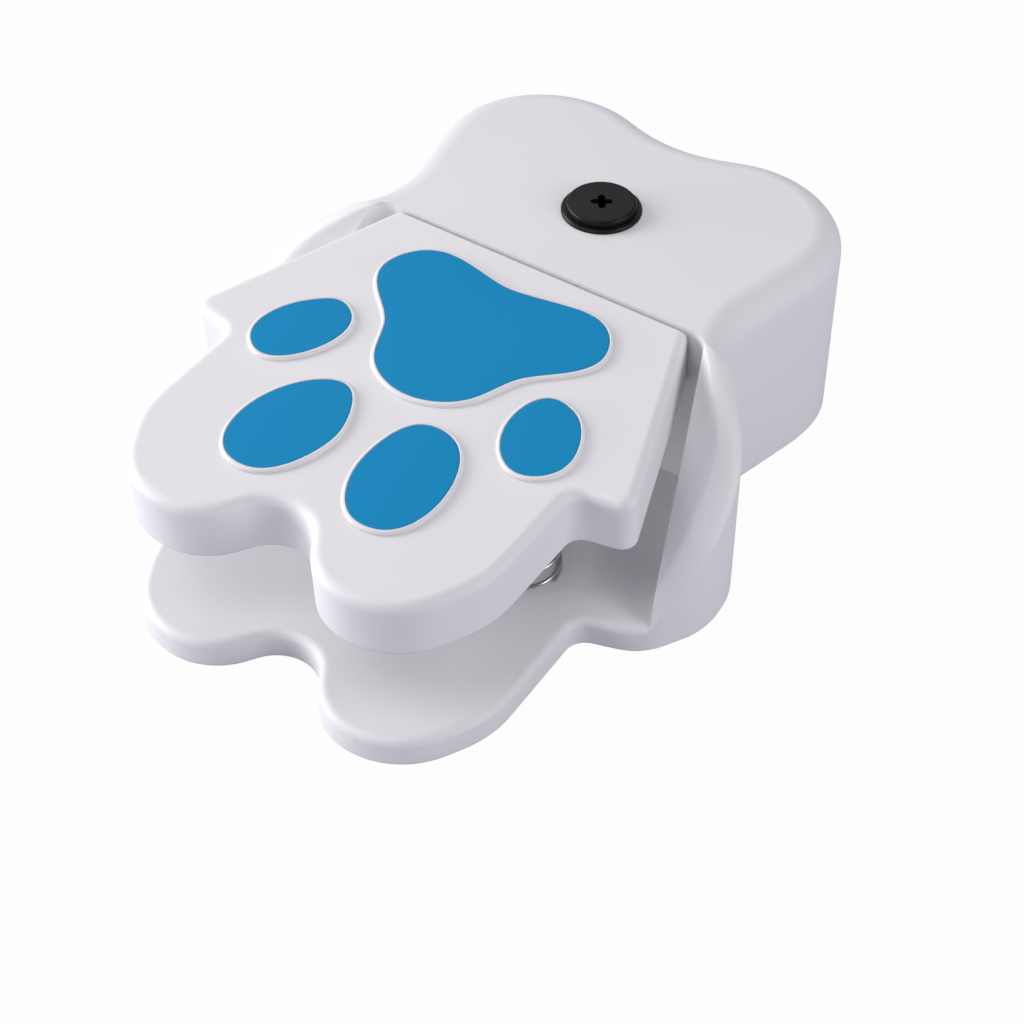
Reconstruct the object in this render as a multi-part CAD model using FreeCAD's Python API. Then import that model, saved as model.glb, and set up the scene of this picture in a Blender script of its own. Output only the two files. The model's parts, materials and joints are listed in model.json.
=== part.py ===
import FreeCAD, Part
import math
import os

V = FreeCAD.Vector
os.makedirs("parts", exist_ok=True)

# Step-on water fountain for dogs, in the shape of a paw, in millimetres.
# +Z is up, the toes point to -Y, X = 0 is the mirror plane and the ground is Z = 0.
# An outline is a list of corners, each with its x, its y and the radius that rounds it.
# A half outline runs from the valley between the front toes round the right side.
far_out = 150.0              # cutting blocks reach this far, beyond the object

# Works along Y that the housing has to hold: valve, supply tube over two spigots, hose inlet
valve_rear_y = 76.0
spigot_length = 10.0
free_tube_length = 5.0
inlet_neck_length = 10.0
inlet_neck_end_y = valve_rear_y + 2 * spigot_length + free_tube_length
inlet_pocket_y = inlet_neck_end_y + inlet_neck_length
inlet_pocket_depth = 3.7
housing_rear_y = inlet_pocket_y + inlet_pocket_depth

# Moulded body: a shell open below, with the housing at the back, two cheeks and a toe plate
housing_height = 75.0
skirt_gap = 1.0              # the feet hold the skirt this far off the ground
toe_plate_height = 11.0
body_wall = 2.5
housing_edge_radius = 10.0
waist_x, waist_y = 67.0, 37.0    # where the housing is narrowest; its flanks spread from there
flank_slope = 9.6 / 42.3
flank_y = housing_rear_y - 35.4
flank_x = waist_x + (flank_y - waist_y) * flank_slope
body_half = [
    (0.0, -90.5, 15.0), (22.0, -125.6, 24.0), (52.8, -124.2, 28.5), (67.8, -95.3, 39.0),
    (65.8, -46.6, 7.3), (86.6, -39.9, 20.0), (98.2, -19.3, 29.0), (96.1, 2.0, 30.0),
    (waist_x, waist_y, 26.0), (flank_x, flank_y, 66.0), (flank_x + 0.8, flank_y + 25.9, 37.0),
    (flank_x - 32.9, flank_y + 50.6, 41.5), (0.0, housing_rear_y, 51.0)]

# Well that the pedal sinks into, between the cheeks
seam_y = 28.5                # front face of the housing, just behind the pedal
well_rear_half_width = 64.5
well_flare = 0.352           # how far a well wall leaves the middle per unit of length
well_corner_radius = 7.0
well_front_y = -140.0
cheek_front_y = -36.5        # ahead of this the body is only as high as the toe plate
plate_edge_radius = 3.0
# Scooped cheek tops: y, height beside the well, height of the ridge along the outer wall,
# how far the ridge lies inside that wall
cheek_rows = [
    (30.0, 76.2, 76.2, 10.5), (26.0, 74.6, 75.0, 10.5), (21.0, 70.6, 72.8, 10.3), (16.0, 65.4, 70.0, 10.0),
    (8.0, 57.3, 64.3, 9.4), (0.0, 50.0, 57.2, 9.0), (-8.0, 42.8, 49.5, 8.6), (-16.0, 36.2, 41.8, 8.0),
    (-22.0, 30.6, 35.4, 7.2), (-27.0, 25.6, 29.2, 6.2), (-31.0, 20.6, 22.6, 5.2), (-34.0, 15.6, 16.4, 4.3),
    (cheek_front_y, 11.0, 11.0, 3.5)]
ridge_overhang = 0.8         # how far the ridge's rounding runs on outside the wall
scoop_run = 2.0              # least length of a scoop across
scoop_overlap = 14.0

# Pedal: a shallow hollow paw that leans down a little towards its toes
pedal_rear_y = 27.4
pedal_rear_height = housing_height - 0.6
pedal_lean = 2.5             # degrees
pedal_depth = 20.0
pedal_wall = 2.5
pedal_skin = 3.0
pedal_edge_radius = 3.5
pedal_rear_edge_radius = 0.8
pedal_half = [
    (0.0, -89.8, 15.0), (22.0, -123.8, 23.5), (52.5, -122.4, 28.0), (67.2, -94.6, 38.0),
    (66.8, -51.5, 6.0), (86.0, -47.5, 5.0), (58.3, pedal_rear_y, 1.5)]
rib_half_length = 58.0
rib_thickness = 1.8
rib_depth = 9.0
rib_x = 20.0
rib_ys = (-72.0, -14.0)
rib_front_y = -98.0
rib_rear_y = 14.0

# Soft pads let into raised plateaus on the pedal
plateau_height = 1.3
plateau_rim = 1.4
plateau_edge_radius = 0.9
pad_thickness = 1.6
pad_clearance = 0.1
# Points that each pad's smooth outline passes through
main_pad_half = [(0.0, 13.0), (15.8, 15.5), (34.8, 14.7), (42.8, 0.0), (35.8, -11.6), (25.8, -21.6),
                 (18.9, -36.3), (0.0, -46.0)]
inner_toe_pad = [(16.7, -53.0), (34.2, -65.3), (28.6, -97.2), (19.3, -97.5), (8.9, -85.8), (6.6, -69.6)]
outer_toe_pad = [(49.9, -24.6), (58.2, -35.2), (58.8, -49.0), (51.1, -55.3), (34.8, -40.8), (40.9, -22.4)]

# Hinge under the rear edge of the pedal
hinge_y = 21.5
hinge_z = pedal_rear_height - 18.4
hinge_pin_radius = 2.5
pin_seat_gap = 0.02
pin_running_gap = 0.06
knuckle_radius = 5.5
lug_x = 40.0
lug_width = 8.0
ear_width = 4.6
ear_gap = 0.4
clip_thickness = 1.0
clip_radius = 5.0
pin_overhang = 1.6
knuckle_headroom = 2.5       # free height over the lugs under the pedal's rear wall
notch_depth = 20.0

# Tappet under the pedal that pushes the valve's plunger
valve_z = housing_height / 2 + 0.5
tappet_width = 12.0
tappet_bottom_z = valve_z - 4.0
tappet_side_gap = 3.0
slot_low_z = valve_z - 8.0
slot_high_z = hinge_z - 4.0

# Two coil springs that lift the pedal
spring_x = 39.0
spring_y = -37.0
spring_radius = 12.0         # to the middle of the wire
spring_wire_radius = 0.7
spring_turns = 7
spring_end_pitch = 2.0
spring_seat_gap = 0.15
spigot_clearance = 0.5
spigot_height = 2.0
spring_seat_drop = 1.05      # how far a seat stands out below the leaning underplate
spring_seat_thickness = 1.6
spring_seat_margin = 2.5

# Closing plate under the pedal
underplate_thickness = 2.0
underplate_clearance = 0.25
underplate_rear_y = 4.0
pedal_screw_spots = [(0.0, -62.0), (40.0, -105.0), (68.0, -41.0), (46.0, -3.0)]
pedal_boss_radius = 3.6
pedal_screw_radius = 1.25
pedal_screw_length = 10.0

# Bottom cover with its screws and feet
cover_thickness = 2.5
cover_clearance = 0.3
cover_low_z = 1.2
cover_screw_spots = [(37.0, -92.0), (80.0, -20.0), (60.0, 50.0), (60.0, 84.0)]
body_boss_radius = 4.0
cover_screw_radius = 1.45
cover_screw_length = 5.4
screw_head_radius = 3.0
screw_head_height = 1.4
screw_clearance = 0.05
head_clearance = 0.3
foot_spots = [(37.0, -110.0), (81.0, 2.0), (52.0, housing_rear_y - 8.7)]
foot_radius = 7.0
foot_thickness = 2.0
foot_clearance = 0.05

# Valve that lies behind the tappet, along Y
valve_front_y = 38.0
valve_radius = 12.0
chamber_radius = 8.0
chamber_rear_y = valve_rear_y - 6.0
gland_flange = 3.0
gland_depth = 6.0
gland_clearance = 0.03
plunger_radius = 3.0
plunger_gap = 0.06
tappet_gap = 0.3
piston_radius = 7.6
piston_front_y = 45.0
piston_length = 6.0
seal_radius = 1.2            # section of the ring seal
seal_gap = 0.05
groove_gap = 0.05
tail_length = 8.0
valve_spring_radius = 5.4
valve_spring_wire_radius = 0.5
valve_spring_turns = 5
valve_spring_end_pitch = 1.6
ear_x = 17.0
valve_ear_y = 56.0
valve_ear_length = 12.0
valve_ear_margin = 5.0
valve_ear_thickness = 4.0
valve_ear_top_z = valve_z
post_radius = 4.5
valve_screw_length = 12.0

# Water way from the hose inlet to the nozzle
pipe_radius = 5.5            # outside of the spigots that the tubes fit over
pipe_bore = 3.5
tube_fit = 0.02
tube_wall = 2.0
clamp_width = 4.0
clamp_thickness = 1.2
clamp_gap = 0.05
inlet_pocket_radius = 19.0
inlet_thread_radius = 13.2
inlet_thread_length = 10.3
inlet_bore = 9.5
inlet_flange_radius = 15.5
inlet_flange = 2.5
inlet_neck_radius = 8.0
inlet_hole_clearance = 0.2
gasket_thickness = 1.0
nut_across_flats = 24.0
nut_thickness = 4.9
nut_clearance = 0.05

nozzle_y = 66.0
nozzle_flange_radius = 13.8
nozzle_flange = 1.3
nozzle_chamfer = 0.5
nozzle_stem_radius = 8.0
nozzle_stem_end_z = housing_height - 9.5
nozzle_hole_clearance = 0.25
nozzle_bore = 6.0
cap_radius = 11.9
cap_height = 2.4
cap_edge_radius = 0.9
cap_plug_depth = 5.0
cap_fit = 0.05
cross_turn = 35.0            # degrees
cross_length = 7.6
cross_width = 2.6
nozzle_spigot_low_z = nozzle_stem_end_z - 7.0
outlet_spigot_top_z = nozzle_spigot_low_z - 1.5
riser_margin = 0.5


def rounded_wire(corners):
    """Closed outline of straight runs and tangent arcs."""
    points = [V(x, y, 0) for x, y, radius in corners]
    count = len(points)
    starts, mids, ends = [], [], []
    for i in range(count):
        before = (points[i - 1] - points[i]).normalize()
        after = (points[(i + 1) % count] - points[i]).normalize()
        radius = corners[i][2]
        half_angle = before.getAngle(after) / 2
        reach = radius / math.tan(half_angle)
        middle = (before + after).normalize()
        centre = points[i] + middle * (radius / math.sin(half_angle))
        starts.append(points[i] + before * reach)
        mids.append(centre - middle * radius)
        ends.append(points[i] + after * reach)
    edges = []
    for i in range(count):
        if corners[i][2] > 0:
            edges.append(Part.Arc(starts[i], mids[i], ends[i]).toShape())
        following = starts[(i + 1) % count]
        if ends[i].distanceToPoint(following) > 0.001:
            edges.append(Part.LineSegment(ends[i], following).toShape())
    return Part.Wire(edges)


def mirrored(half):
    """Corners or points of a whole outline from its right half."""
    return half + [(-corner[0],) + corner[1:] for corner in reversed(half) if corner[0] > 0]


def smooth_curve(places):
    curve = Part.BSplineCurve()
    curve.interpolate(Points=places, PeriodicFlag=True)
    return curve


def smooth_wire(points, margin=0.0):
    """Closed smooth outline through a few points that run clockwise, or outside it by a margin."""
    places = [V(x, y, 0) for x, y in points]
    curve = smooth_curve(places)
    if margin:
        tangents = [curve.tangent(curve.parameter(place))[0] for place in places]
        curve = smooth_curve([place + V(-t.y, t.x, 0) * margin for place, t in zip(places, tangents)])
    return Part.Wire([curve.toShape()])


def both_sides(spots):
    """Each spot and its mirror image, once only on the mirror plane."""
    return [(side * x, y) for x, y in spots for side in ((1, -1) if x > 0 else (1,))]


def grown(wire, distance):
    """The outline moved outwards by a distance, or inwards by a negative one."""
    if distance == 0:
        return wire
    return wire.makeOffset2D(distance, 0, False, False, True)


def slab(wire, low, high):
    face = Part.Face(wire)
    face.translate(V(0, 0, low))
    return face.extrude(V(0, 0, high - low))


def box(low, high):
    return Part.makeBox(high[0] - low[0], high[1] - low[1], high[2] - low[2], V(*low))


def upright(x, y, radius, low, high):
    return Part.makeCylinder(radius, high - low, V(x, y, low))


def lengthwise(radius, front, rear, z, x=0.0):
    """Cylinder along Y."""
    return Part.makeCylinder(radius, rear - front, V(x, front, z), V(0, 1, 0))


def crosswise(radius, left, right, y, z):
    """Cylinder along X."""
    return Part.makeCylinder(radius, right - left, V(left, y, z), V(1, 0, 0))


def joined(shapes):
    first, rest = shapes[0], shapes[1:]
    return first.fuse(rest).removeSplitter() if rest else first


def edges_at(shape, z):
    return [e for e in shape.Edges if abs(e.BoundBox.ZMin - z) < 1e-3 and abs(e.BoundBox.ZMax - z) < 1e-3]


def save(name, shape):
    shape.exportStep("parts/" + name + ".step")
    print(name, "solids", len(shape.Solids), "valid", shape.isValid())


def on_pedal(shape):
    """Move a shape from the pedal's own level frame to its place over the hinge."""
    moved = shape.copy()
    moved.rotate(V(0, pedal_rear_y, 0), V(1, 0, 0), pedal_lean)
    moved.translate(V(0, 0, pedal_rear_height))
    return moved


def well_half_width(y):
    return well_rear_half_width + well_flare * (seam_y - y)


def well_wire(margin):
    side = margin * math.sqrt(1 + well_flare ** 2)
    front = (well_half_width(well_front_y) + side, well_front_y, 0.0)
    rear_half = well_rear_half_width + side - well_flare * margin
    rear = (rear_half, seam_y + margin, well_corner_radius + margin)
    return rounded_wire([front, rear, (-rear[0],) + rear[1:], (-front[0],) + front[1:]])


def half_width_at(outline, y):
    """Half width of a mirrored outline at y."""
    return outline.distToShape(Part.makeLine(V(0, y, 0), V(far_out, y, 0)))[1][0][0].x


def cheek_cutter(side, skin):
    """Loft over one cheek, whose underside is the scoop, the ridge and the rounding outside it."""
    outline = rounded_wire(mirrored(body_half))
    lowered = skin * math.sqrt(2)
    wires = []
    for y, low, crest, inset in cheek_rows:
        outer = half_width_at(outline, y)
        ridge_x, ridge_z = outer - inset, crest - lowered
        foot_x, foot_z = min(well_half_width(y), ridge_x - scoop_run), low - lowered
        run = ridge_x - foot_x
        radius = inset + ridge_overhang - skin
        drop_x, drop_z = ridge_x + radius, ridge_z - radius
        arc_x, arc_z = ridge_x + radius * math.sin(math.pi / 4), drop_z + radius * math.cos(math.pi / 4)
        near, far, top = foot_x - scoop_overlap, outer + scoop_overlap, 2 * housing_height
        place = lambda x, z: V(side * x, y, z)
        line = lambda a, b: Part.LineSegment(place(*a), place(*b)).toShape()
        scoop = Part.BezierCurve()
        scoop.setPoles([place(foot_x, foot_z), place(foot_x + run / 2, foot_z),
                        place(ridge_x - run / 3, ridge_z), place(ridge_x, ridge_z)])
        arc = Part.Arc(place(ridge_x, ridge_z), place(arc_x, arc_z), place(drop_x, drop_z))
        wires.append(Part.Wire([
            line((near, foot_z), (foot_x, foot_z)), scoop.toShape(), arc.toShape(),
            line((drop_x, drop_z), (drop_x, drop_z - inset)),
            line((drop_x, drop_z - inset), (far, drop_z - inset)),
            line((far, drop_z - inset), (far, top)),
            line((far, top), (near, top)),
            line((near, top), (near, foot_z))]))
    return Part.makeLoft(wires, True, False)


def body_form(skin, bottom):
    """The body's outer form for no skin, or the space inside a skin of that thickness."""
    top = housing_height - skin
    outline = grown(rounded_wire(mirrored(body_half)), -skin)
    form = slab(outline, bottom, top)
    form = form.makeFillet(housing_edge_radius - skin, edges_at(form, top))
    plate_top = toe_plate_height - skin
    front = box((-far_out, -far_out, plate_top), (far_out, cheek_front_y, 2 * housing_height))
    form = form.cut(front).cut(slab(well_wire(skin), plate_top, 2 * housing_height))
    for side in (1, -1):
        form = form.cut(cheek_cutter(side, skin))
    plate = slab(outline, bottom, plate_top)
    plate = plate.makeFillet(plate_edge_radius - skin, edges_at(plate, plate_top))
    rear = box((-far_out, cheek_front_y, bottom), (far_out, far_out, housing_height))
    return form.common(plate.fuse(rear))


def knuckle(centre_x, width, reach_y, reach_z):
    """Rounded eye round the hinge axis that runs back to reach_y or up to reach_z."""
    left, right = centre_x - width / 2, centre_x + width / 2
    eye = crosswise(knuckle_radius, left, right, hinge_y, hinge_z)
    if reach_y is not None:
        stem = box((left, hinge_y, hinge_z - knuckle_radius), (right, reach_y, hinge_z + knuckle_radius))
    else:
        stem = box((left, hinge_y - knuckle_radius, hinge_z), (right, hinge_y + knuckle_radius, reach_z))
    return eye.fuse(stem)


def build_body_shell():
    outer = body_form(0, skirt_gap)
    hollow = body_form(body_wall, -1)
    pocket = lengthwise(inlet_pocket_radius, inlet_pocket_y, 200, valve_z)
    pocket_wall = lengthwise(inlet_pocket_radius + body_wall, inlet_pocket_y - body_wall, 200, valve_z)
    shell = outer.cut(pocket).cut(hollow.cut(pocket_wall))
    cover_top = cover_low_z + cover_thickness
    bosses = [upright(x, y, body_boss_radius, cover_top, housing_height - 1)
              for x, y in both_sides(cover_screw_spots)]
    pilots = [upright(x, y, cover_screw_radius + screw_clearance, 0, cover_top + cover_screw_length)
              for x, y in both_sides(cover_screw_spots)]
    lugs = [knuckle(side * lug_x, lug_width, seam_y + body_wall / 2, None) for side in (1, -1)]
    spigots = [upright(side * spring_x, spring_y, spigot_radius(), toe_plate_height - 1,
                       toe_plate_height + spigot_height) for side in (1, -1)]
    shell = shell.fuse([boss.common(outer) for boss in bosses] + lugs + spigots)
    slot_half = tappet_width / 2 + tappet_side_gap
    slot = box((-slot_half, seam_y - 1, slot_low_z), (slot_half, seam_y + body_wall + 1, slot_high_z))
    bore_end = lug_x + lug_width
    pin_bore = crosswise(hinge_pin_radius + pin_seat_gap, -bore_end, bore_end, hinge_y, hinge_z)
    inlet_hole = lengthwise(inlet_neck_radius + inlet_hole_clearance,
                            inlet_pocket_y - 2 * body_wall, inlet_pocket_y + 1, valve_z)
    nozzle_hole = upright(0, nozzle_y, nozzle_stem_radius + nozzle_hole_clearance,
                          housing_height - 2 * body_wall, housing_height + 1)
    return shell.cut(pilots + [slot, pin_bore, inlet_hole, nozzle_hole])


def spigot_radius():
    return spring_radius - spring_wire_radius - spigot_clearance


def build_bottom_cover():
    cover_top = cover_low_z + cover_thickness
    outline = grown(rounded_wire(mirrored(body_half)), -(body_wall + cover_clearance))
    plate = slab(outline, cover_low_z, cover_top)
    ear_low = valve_ear_top_z - valve_ear_thickness
    posts = [upright(side * ear_x, valve_ear_y, post_radius, cover_low_z + 1, ear_low) for side in (1, -1)]
    plate = plate.fuse(posts)
    cuts = [upright(side * ear_x, valve_ear_y, cover_screw_radius + screw_clearance,
                    valve_ear_top_z - valve_screw_length - 0.5, valve_ear_top_z) for side in (1, -1)]
    for x, y in both_sides(cover_screw_spots):
        cuts.append(upright(x, y, cover_screw_radius + head_clearance, 0, cover_top + 1))
        cuts.append(upright(x, y, screw_head_radius + head_clearance, 0, cover_low_z + screw_head_height))
    for x, y in both_sides(foot_spots):
        cuts.append(upright(x, y, foot_radius + foot_clearance, 0, foot_thickness))
    return plate.cut(cuts)


def screw(x, y, head_low, head_up, shaft_end, radius):
    """Pan-headed screw that points up, or down where the shaft ends below the head."""
    head = upright(x, y, screw_head_radius, head_low, head_up)
    shaft = upright(x, y, radius, min(head_up, shaft_end), max(head_low, shaft_end))
    return head.fuse(shaft)


def build_cover_screws():
    head_up = cover_low_z + screw_head_height
    end = cover_low_z + cover_thickness + cover_screw_length - 0.3
    return Part.makeCompound([screw(x, y, cover_low_z, head_up, end, cover_screw_radius)
                              for x, y in both_sides(cover_screw_spots)])


def build_rubber_feet():
    feet = []
    for x, y in both_sides(foot_spots):
        foot = upright(x, y, foot_radius, 0, foot_thickness)
        feet.append(foot.makeChamfer(0.4, edges_at(foot, 0)))
    return Part.makeCompound(feet)


def pad_outlines(margin=0.0):
    left = lambda points: [(-x, y) for x, y in reversed(points)]
    outlines = {
        "main_pad": mirrored(main_pad_half),
        "inner_toe_pad_right": inner_toe_pad, "inner_toe_pad_left": left(inner_toe_pad),
        "outer_toe_pad_right": outer_toe_pad, "outer_toe_pad_left": left(outer_toe_pad)}
    return {name: smooth_wire(points, margin) for name, points in outlines.items()}


def pedal_form():
    """The pedal's solid outer form: well rounded toes and sides, a crisper edge along the housing."""
    *front, (rear_x, rear_y, rear_radius) = pedal_half
    side_x, side_y, side_radius = front[-1]
    run_on = 3 * pedal_edge_radius
    slope = (rear_x - side_x) / (rear_y - side_y)
    longer = rounded_wire(mirrored(front + [(rear_x + slope * run_on, rear_y + run_on, rear_radius)]))
    form = slab(longer, -pedal_depth, 0)
    form = form.makeFillet(pedal_edge_radius, edges_at(form, 0))
    shorter = slab(rounded_wire(mirrored(pedal_half)), -pedal_depth, 0)
    return form.common(shorter.makeFillet(pedal_rear_edge_radius, edges_at(shorter, 0)))


def build_pedal_shell():
    outline = rounded_wire(mirrored(pedal_half))
    hollow = slab(grown(outline, -pedal_wall), -pedal_depth - 1, -pedal_skin)
    shell = pedal_form().cut(hollow)
    plateaus = [slab(wire, -pedal_skin / 2, plateau_height) for wire in pad_outlines(plateau_rim).values()]
    plateaus = [plateau.makeFillet(plateau_edge_radius, edges_at(plateau, plateau_height))
                for plateau in plateaus]
    rib_low = -pedal_skin - rib_depth
    ribs = [box((side * rib_x - rib_thickness / 2, rib_front_y, rib_low),
                (side * rib_x + rib_thickness / 2, rib_rear_y, -1)) for side in (1, -1)]
    ribs += [box((-rib_half_length, y, rib_low), (rib_half_length, y + rib_thickness, -1)) for y in rib_ys]
    plate_top = -pedal_depth + underplate_thickness
    bosses = [upright(x, y, pedal_boss_radius, plate_top, -1) for x, y in both_sides(pedal_screw_spots)]
    shell = shell.fuse(plateaus + ribs + bosses)
    sockets = [slab(wire, plateau_height - pad_thickness, plateau_height + 1)
               for wire in pad_outlines(pad_clearance).values()]
    pilots = [upright(x, y, pedal_screw_radius + screw_clearance,
                      -pedal_depth, plate_top + pedal_screw_length)
              for x, y in both_sides(pedal_screw_spots)]
    shell = on_pedal(shell.cut(sockets + pilots))
    inside = pedal_rear_height - pedal_skin / 2 - 1
    ears = [knuckle(side * ear_centre, ear_width, None, inside)
            for side in (1, -1) for ear_centre in ear_centres()]
    arm = knuckle(0, tappet_width, None, inside)
    blade = box((-tappet_width / 2, hinge_y - knuckle_radius + 1, tappet_bottom_z),
                (tappet_width / 2, hinge_y + knuckle_radius, hinge_z))
    blade = blade.makeFillet(2.0, edges_at(blade, tappet_bottom_z))
    notch_half = pin_end_x() + 1
    notch = box((-notch_half, pedal_rear_y - 2 * pedal_wall, hinge_z - notch_depth),
                (notch_half, pedal_rear_y + 5, hinge_z + knuckle_radius + knuckle_headroom))
    shell = shell.cut(notch).fuse(ears + [arm, blade])
    return shell.cut(crosswise(hinge_pin_radius + pin_running_gap, -notch_half, notch_half, hinge_y, hinge_z))


def ear_centres():
    step = lug_width / 2 + ear_gap + ear_width / 2
    return (lug_x - step, lug_x + step)


def clip_x():
    """Inner face of the clip that holds the pin outside the outer ear."""
    return ear_centres()[1] + ear_width / 2 + ear_gap


def pin_end_x():
    return clip_x() + clip_thickness + pin_overhang


def build_hinge_pin():
    pin = crosswise(hinge_pin_radius, -pin_end_x(), pin_end_x(), hinge_y, hinge_z)
    ends = [e for e in pin.Edges if e.BoundBox.XMax - e.BoundBox.XMin < 0.01]
    return pin.makeChamfer(0.5, ends)


def build_hinge_clips():
    clips = []
    for side in (1, -1):
        left = min(side * clip_x(), side * (clip_x() + clip_thickness))
        ring = crosswise(clip_radius, left, left + clip_thickness, hinge_y, hinge_z)
        ring = ring.cut(crosswise(hinge_pin_radius + pin_seat_gap, left - 1, left + 2, hinge_y, hinge_z))
        gap = box((left - 1, hinge_y - 1.2, hinge_z - clip_radius - 1), (left + 2, hinge_y + 1.2, hinge_z))
        clips.append(ring.cut(gap))
    return Part.makeCompound(clips)


def seat_radius():
    return spring_radius + spring_wire_radius + spring_seat_margin


def spring_seat_z():
    """Height of the level seats that the springs push up against."""
    lean = math.radians(pedal_lean)
    under = pedal_rear_height - (pedal_rear_y - spring_y) * math.sin(lean) - pedal_depth * math.cos(lean)
    return under - spring_seat_drop


def build_pedal_underplate():
    outline = grown(rounded_wire(mirrored(pedal_half)), -(pedal_wall + underplate_clearance))
    plate_top = -pedal_depth + underplate_thickness
    plate = slab(outline, -pedal_depth, plate_top)
    plate = plate.common(box((-far_out, -far_out, -pedal_depth), (far_out, underplate_rear_y, plate_top)))
    cuts = []
    for x, y in both_sides(pedal_screw_spots):
        cuts.append(upright(x, y, pedal_screw_radius + head_clearance, -pedal_depth - 1, 0))
        cuts.append(upright(x, y, screw_head_radius + head_clearance,
                            -pedal_depth - 1, -pedal_depth + screw_head_height))
    plate = on_pedal(plate.cut(cuts))
    seats = []
    seat_z = spring_seat_z()
    for side in (1, -1):
        seats.append(upright(side * spring_x, spring_y, seat_radius(),
                             seat_z, seat_z + spring_seat_thickness))
        seats.append(upright(side * spring_x, spring_y, spigot_radius(), seat_z - spigot_height, seat_z + 1))
    return plate.fuse(seats).removeSplitter()


def build_pedal_screws():
    head_up = -pedal_depth + screw_head_height
    end = -pedal_depth + underplate_thickness + pedal_screw_length - 0.5
    return Part.makeCompound([on_pedal(screw(x, y, -pedal_depth, head_up, end, pedal_screw_radius))
                              for x, y in both_sides(pedal_screw_spots)])


def biarc(start, start_dir, end, end_dir):
    """Two tangent arcs from one point and direction to another."""
    span = end - start
    total = start_dir + end_dir
    spread = 2 * (1 - start_dir.dot(end_dir))
    along = span.dot(total)
    reach = (-along + math.sqrt(along * along + spread * span.dot(span))) / spread
    meet = (start + start_dir * reach + end - end_dir * reach) * 0.5
    return [tangent_arc(start, start_dir, meet), tangent_arc(end, end_dir * -1, meet)]


def tangent_arc(start, direction, end):
    chord = end - start
    along = V(chord).normalize()
    side = direction - along * direction.dot(along)
    height = chord.Length / 2 * math.tan(direction.getAngle(along) / 2)
    middle = (start + end) * 0.5 + side.normalize() * height
    return Part.Arc(start, middle, end)


def wound_spring(radius, wire_radius, turns, end_pitch, height, name):
    """Compression spring that stands on Z = 0, with one slow turn at each end."""
    rise = height - 2 * wire_radius
    pitch = (rise - 2 * end_pitch) / (turns - 2)
    steps = 4 * turns

    def level(step):
        turn = step / 4
        return wire_radius + end_pitch * min(turn, 1) + pitch * min(max(turn - 1, 0), turns - 2) \
            + end_pitch * max(turn - (turns - 1), 0)

    points, directions = [], []
    for step in range(steps + 1):
        angle = math.pi / 2 * step
        low, high = max(step - 1, 0), min(step + 1, steps)
        slope = (level(high) - level(low)) / ((high - low) * math.pi / 2)
        points.append(V(radius * math.cos(angle), radius * math.sin(angle), level(step)))
        directions.append(V(-radius * math.sin(angle), radius * math.cos(angle), slope).normalize())
    arcs = []
    for step in range(steps):
        first, second = biarc(points[step], directions[step], points[step + 1], directions[step + 1])
        arcs += [first.toShape(), Part.Arc(second.EndPoint, second.value((second.FirstParameter
                 + second.LastParameter) / 2), second.StartPoint).toShape()]
    path = Part.Wire(arcs)
    profile = Part.Wire([Part.Circle(points[0], directions[0], wire_radius).toShape()])
    print(name, "least gap to itself", round(least_gap(path, turns) - 2 * wire_radius, 3))
    return path.makePipeShell([profile], True, False)


def least_gap(path, turns):
    """Least distance between points of the wire's middle line over half a turn apart."""
    samples = path.discretize(Number=turns * 36 + 1)
    return min(a.distanceToPoint(b) for i, a in enumerate(samples) for b in samples[i + 18:])


def build_return_spring(side):
    low = toe_plate_height + spring_seat_gap
    height = spring_seat_z() - spring_seat_gap - low
    spring = wound_spring(spring_radius, spring_wire_radius, spring_turns,
                          spring_end_pitch, height, "return spring")
    spring.translate(V(side * spring_x, spring_y, low))
    return spring


def build_valve_body():
    body = lengthwise(valve_radius, valve_front_y, valve_rear_y, valve_z)
    rear = lengthwise(pipe_radius, valve_rear_y - 1, valve_rear_y + spigot_length, valve_z)
    outlet = upright(0, nozzle_y, pipe_radius, valve_z, outlet_spigot_top_z)
    ears = []
    for side in (1, -1):
        near, far = sorted((side * chamber_radius, side * (ear_x + valve_ear_margin)))
        ears.append(box((near, valve_ear_y - valve_ear_length / 2, valve_ear_top_z - valve_ear_thickness),
                        (far, valve_ear_y + valve_ear_length / 2, valve_ear_top_z)))
    body = joined([body, rear, outlet] + ears)
    cuts = [lengthwise(chamber_radius, valve_front_y - 1, chamber_rear_y, valve_z),
            lengthwise(pipe_bore, chamber_rear_y - 1, valve_rear_y + spigot_length + 1, valve_z),
            upright(0, nozzle_y, pipe_bore, valve_z, outlet_spigot_top_z + 1)]
    cuts += [upright(side * ear_x, valve_ear_y, cover_screw_radius + head_clearance,
                     valve_z - 10, valve_z + 1) for side in (1, -1)]
    return body.cut(cuts)


def build_valve_gland():
    flange = lengthwise(valve_radius, valve_front_y - gland_flange, valve_front_y, valve_z)
    plug = lengthwise(chamber_radius - gland_clearance, valve_front_y, valve_front_y + gland_depth, valve_z)
    hole = lengthwise(plunger_radius + plunger_gap, valve_front_y - gland_flange - 1,
                      valve_front_y + gland_depth + 1, valve_z)
    return joined([flange, plug]).cut(hole)


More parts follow.
